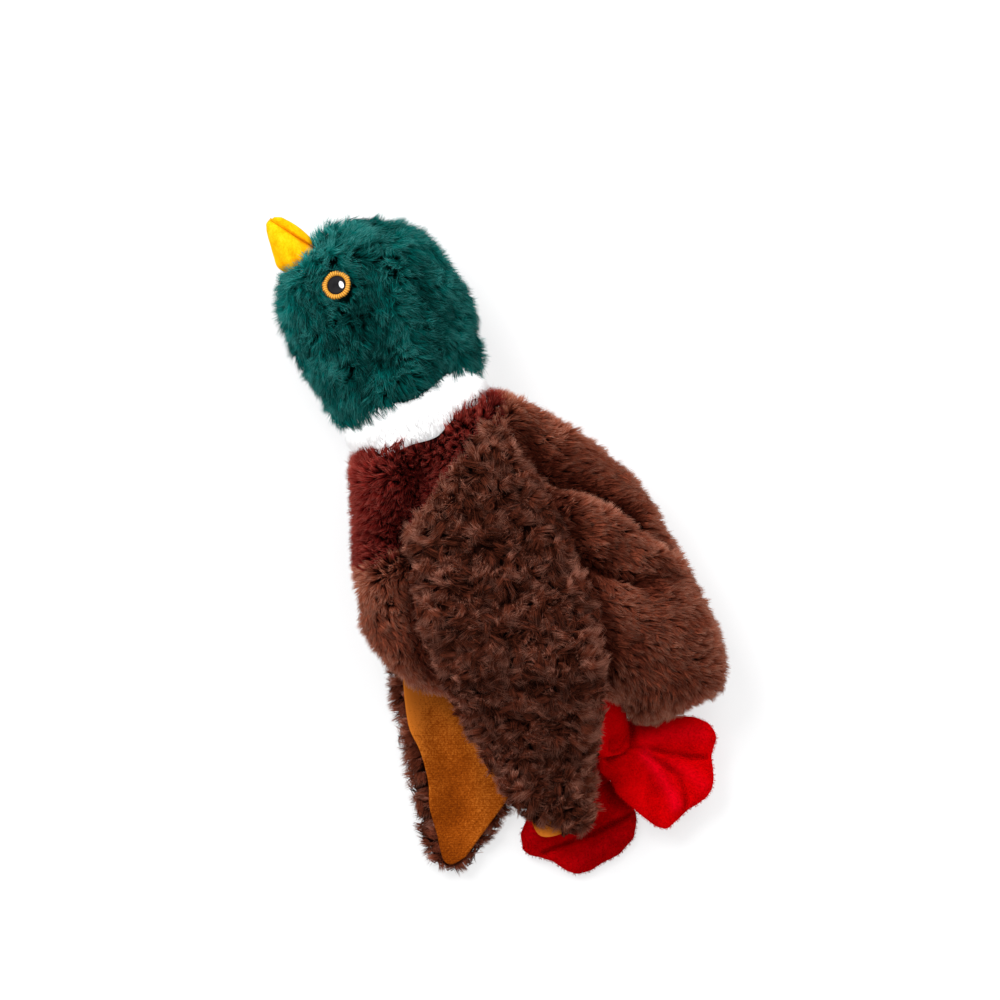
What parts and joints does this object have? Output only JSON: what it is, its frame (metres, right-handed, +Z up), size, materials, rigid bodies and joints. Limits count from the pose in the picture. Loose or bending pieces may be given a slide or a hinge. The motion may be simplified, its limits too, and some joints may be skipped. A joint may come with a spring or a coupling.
{
  "type": "plush duck",
  "caption": "Soft plush mallard lying on its side: stuffed body and head, floppy wings with a velour lining, padded webbed feet, two-part beak and embroidered eyes.",
  "frame": {"origin": "middle of the plan of the toy lying on its right side, on the surface it lies on", "axes": "+Y from the tail towards the beak, +X from the belly towards the back, +Z up through its left side"},
  "size_m": [0.1994, 0.317, 0.0748],
  "materials": {
    "green_pile": "deep green plush pile, matt",
    "white_pile": "white plush pile, matt",
    "maroon_pile": "dark maroon plush pile, matt",
    "brown_pile": "brown plush pile, matt",
    "wing_pile": "dark brown curly plush pile, matt",
    "lining": "tan velour lining, matt",
    "red_velour": "red velour with a soft sheen",
    "yellow_velour": "yellow velour with a soft sheen",
    "orange_thread": "orange embroidery thread, satin",
    "black_thread": "black embroidery thread, satin",
    "white_thread": "white embroidery thread, satin",
    "fibrefill": "white polyester fibrefill"
  },
  "bodies": {
    "torso": {"chest_left_panel": "maroon_pile", "chest_right_panel": "maroon_pile", "body_left_panel": "brown_pile", "body_right_panel": "brown_pile", "body_filling": "fibrefill", "left_leg": "red_velour", "right_leg": "red_velour"},
    "neck": {"collar_left_panel": "white_pile", "collar_right_panel": "white_pile", "neck_filling": "fibrefill"},
    "head": {"head_left_panel": "green_pile", "head_right_panel": "green_pile", "head_filling": "fibrefill", "left_eye_ring": "orange_thread", "left_eye_pupil": "black_thread", "left_eye_highlight": "white_thread", "right_eye_ring": "orange_thread", "right_eye_pupil": "black_thread", "right_eye_highlight": "white_thread", "beak_upper": "yellow_velour", "beak_lower": "yellow_velour"},
    "left_wing": {"left_wing_pile": "wing_pile", "left_wing_lining": "lining"},
    "right_wing": {"right_wing_pile": "wing_pile", "right_wing_lining": "lining"},
    "left_foot": {"left_foot_top": "red_velour", "left_foot_sole": "red_velour"},
    "right_foot": {"right_foot_top": "red_velour", "right_foot_sole": "red_velour"}
  },
  "joints": [
    {"name": "neck_nod", "type": "hinge", "parent": "torso", "child": "neck", "pos_m": [0.0404, 0.05516, 0.035], "axis": [0, 0, 1], "range_deg": [-18, 18]},
    {"name": "head_turn", "type": "hinge", "parent": "neck", "child": "head", "pos_m": [0.04078, 0.05608, 0.035], "axis": [0.3795, 0.9252, 0], "range_deg": [-40, 40]},
    {"name": "left_wing_lift", "type": "hinge", "parent": "torso", "child": "left_wing", "pos_m": [0.0293, 0.01851, 0.06465], "axis": [-0.988, -0.1547, 0], "range_deg": [0, 90]},
    {"name": "right_wing_lift", "type": "hinge", "parent": "torso", "child": "right_wing", "pos_m": [0.0293, 0.01851, 0.0095], "axis": [0.988, 0.1547, 0], "range_deg": [0, 90]},
    {"name": "left_foot_lift", "type": "hinge", "parent": "torso", "child": "left_foot", "pos_m": [0.0021, -0.12009, 0.0165], "axis": [-0.9613, -0.2756, 0], "range_deg": [0, 50]},
    {"name": "right_foot_lift", "type": "hinge", "parent": "torso", "child": "right_foot", "pos_m": [-0.02895, -0.10909, 0.00525], "axis": [0.7986, -0.6018, 0], "range_deg": [0, 50]}
  ]
}
